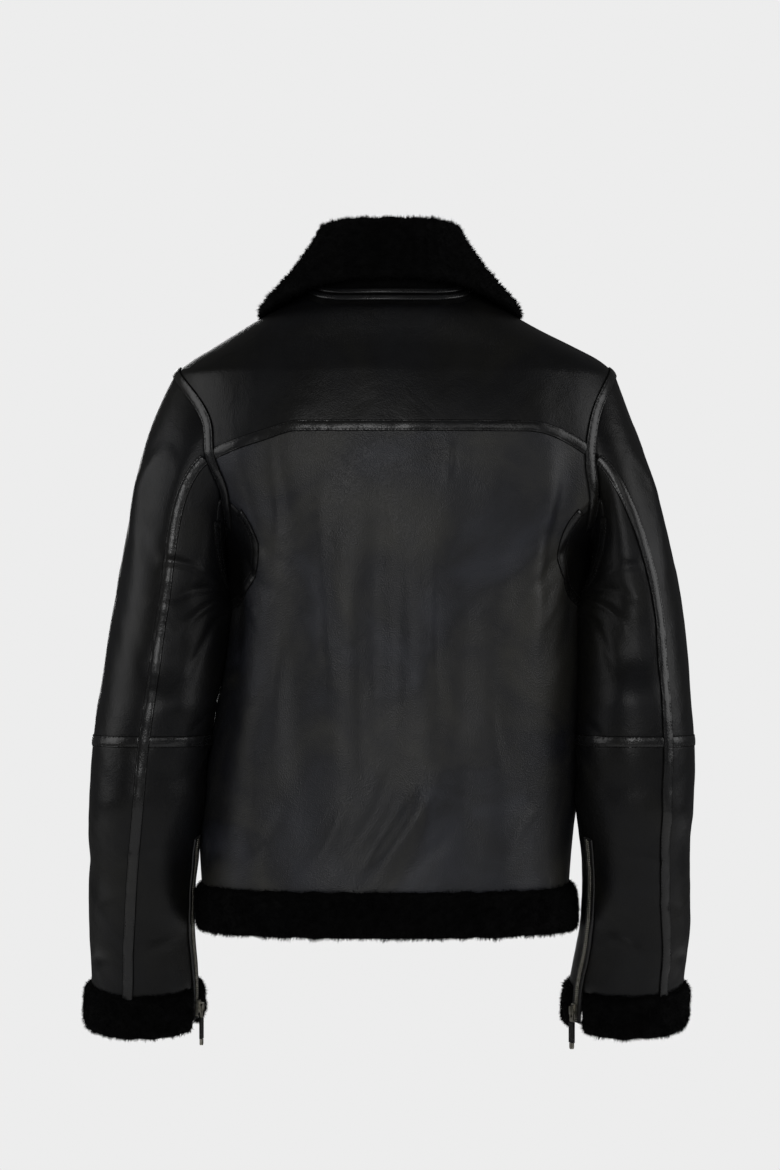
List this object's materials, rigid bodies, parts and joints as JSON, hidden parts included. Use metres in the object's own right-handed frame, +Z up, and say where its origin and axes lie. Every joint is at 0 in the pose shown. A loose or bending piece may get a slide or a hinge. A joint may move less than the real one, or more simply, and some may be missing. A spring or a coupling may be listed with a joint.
{
  "type": "shearling jacket",
  "caption": "Leather shearling jacket in its worn shape, with a turned-down fur collar, fur hem and cuffs, taped seams, a front zip and cuff zips.",
  "frame": {"origin": "between the shoulders, level with the base of the neck, where the wearer holds the jacket up", "axes": "+Z up, the front of the jacket towards -Y, the wearer's left towards +X"},
  "size_m": [0.6286, 0.2552, 0.8478],
  "materials": {
    "leather": "black pebbled leather with a soft satin sheen",
    "strap": "smooth black leather strap, a little glossier than the panels",
    "fur": "matt black clipped shearling fur",
    "tape": "black woven zip tape with nickel teeth",
    "metal": "worn nickel"
  },
  "bodies": {
    "jacket": {"back_panel": "leather", "back_yoke": "leather", "yoke_strap": "strap", "hem_fur": "fur", "collar": "fur", "collar_band_lower": "strap", "collar_band_upper": "strap", "front_zip": "tape", "front_left": "leather", "sleeve_upper_left": "leather", "sleeve_lower_left": "leather", "gusset_left": "leather", "armhole_strap_left": "strap", "gusset_strap_body_left": "strap", "gusset_strap_sleeve_left": "strap", "sleeve_strap_left": "strap", "elbow_strap_left": "strap", "cuff_fur_left": "fur", "cuff_zip_left": "tape", "cuff_slider_left": "metal", "front_right": "leather", "sleeve_upper_right": "leather", "sleeve_lower_right": "leather", "gusset_right": "leather", "armhole_strap_right": "strap", "gusset_strap_body_right": "strap", "gusset_strap_sleeve_right": "strap", "sleeve_strap_right": "strap", "elbow_strap_right": "strap", "cuff_fur_right": "fur", "cuff_zip_right": "tape", "cuff_slider_right": "metal", "front_slider": "metal"},
    "cuff_puller_left": {"cuff_pull_left": "metal", "cuff_tab_left": "strap", "cuff_tab_end_left": "metal"},
    "cuff_puller_right": {"cuff_pull_right": "metal", "cuff_tab_right": "strap", "cuff_tab_end_right": "metal"},
    "front_puller": {"front_pull": "metal"}
  },
  "joints": [
    {"name": "cuff_pull_left_swing", "type": "hinge", "parent": "jacket", "child": "cuff_puller_left", "pos_m": [0.19442, -0.00641, -0.74054], "axis": [0.2493, 0.9684, 0], "range_deg": [0, 150]},
    {"name": "cuff_pull_right_swing", "type": "hinge", "parent": "jacket", "child": "cuff_puller_right", "pos_m": [-0.18661, 0.00875, -0.74261], "axis": [0.4921, -0.8705, 0], "range_deg": [0, 150]},
    {"name": "front_pull_swing", "type": "hinge", "parent": "jacket", "child": "front_puller", "pos_m": [0, -0.08995, -0.10192], "axis": [-1, 0, 0], "range_deg": [0, 150]}
  ]
}
